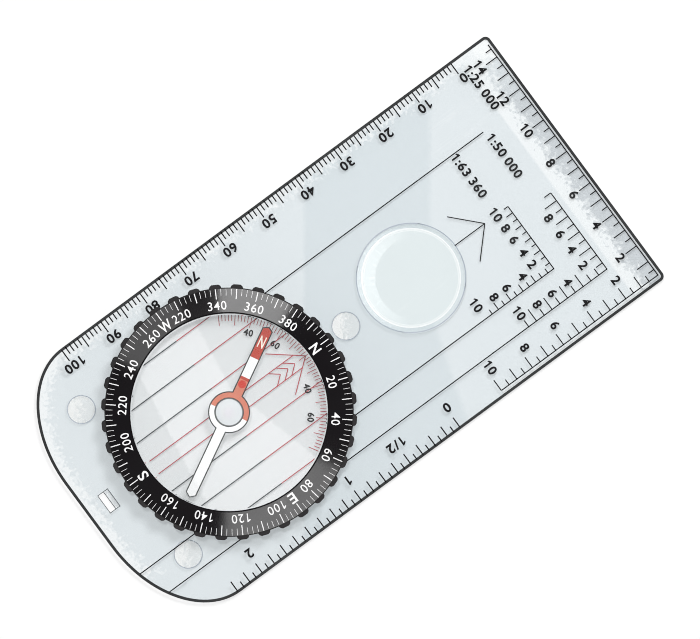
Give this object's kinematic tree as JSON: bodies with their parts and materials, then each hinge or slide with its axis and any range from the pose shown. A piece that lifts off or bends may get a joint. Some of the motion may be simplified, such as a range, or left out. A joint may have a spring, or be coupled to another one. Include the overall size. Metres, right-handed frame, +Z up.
{
  "type": "baseplate sighting compass",
  "caption": "Clear baseplate compass with a turning graduated dial, sealed capsule with a swinging magnetic needle, magnifying lens, map scales, feet and a lanyard slot.",
  "frame": {"origin": "under the middle of the baseplate, on the surface that the feet stand on", "axes": "+Y along the direction of travel, +X to the right of it, +Z up out of the dial's window"},
  "size_m": [0.0624, 0.1254, 0.0099],
  "materials": {
    "clear_acrylic": "clear polished acrylic with a cold tint",
    "lens_acrylic": "clear polished optical acrylic",
    "clear_silicone": "translucent matte silicone",
    "slip_washer": "waxy low-friction plastic",
    "capsule_acrylic": "clear polished acrylic",
    "sealing_rubber": "soft matte black rubber",
    "dial_black": "fine-grained satin black plastic with white printed degrees",
    "grip_rubber": "matte black elastomer",
    "brass": "turned brass",
    "pin_steel": "ground hardened steel",
    "needle_lacquer": "magnet steel lacquered red and white",
    "hub_acrylic": "clear moulded acrylic",
    "sapphire": "polished synthetic sapphire"
  },
  "bodies": {
    "baseplate": {"baseplate": "clear_acrylic", "magnifier_lens": "lens_acrylic", "front_foot": "clear_silicone", "rear_left_foot": "clear_silicone", "rear_right_foot": "clear_silicone", "glide_washer": "slip_washer"},
    "dial": {"dial_ring": "dial_black", "grip_ring": "grip_rubber", "capsule_base": "capsule_acrylic", "capsule_lid": "capsule_acrylic", "capsule_gasket": "sealing_rubber", "filler_plug": "sealing_rubber", "retaining_ring": "clear_acrylic", "pivot_seat": "brass", "pivot_pin": "pin_steel"},
    "needle": {"needle": "needle_lacquer", "needle_hub": "hub_acrylic", "jewel_bearing": "sapphire"}
  },
  "joints": [
    {"name": "dial_turn", "type": "hinge", "parent": "baseplate", "child": "dial", "pos_m": [0, -0.02655, 0.005], "axis": [0, 0, 1], "continuous": true},
    {"name": "needle_swing", "type": "hinge", "parent": "dial", "child": "needle", "pos_m": [0, -0.02655, 0.0067], "axis": [0, 0, 1], "continuous": true}
  ]
}
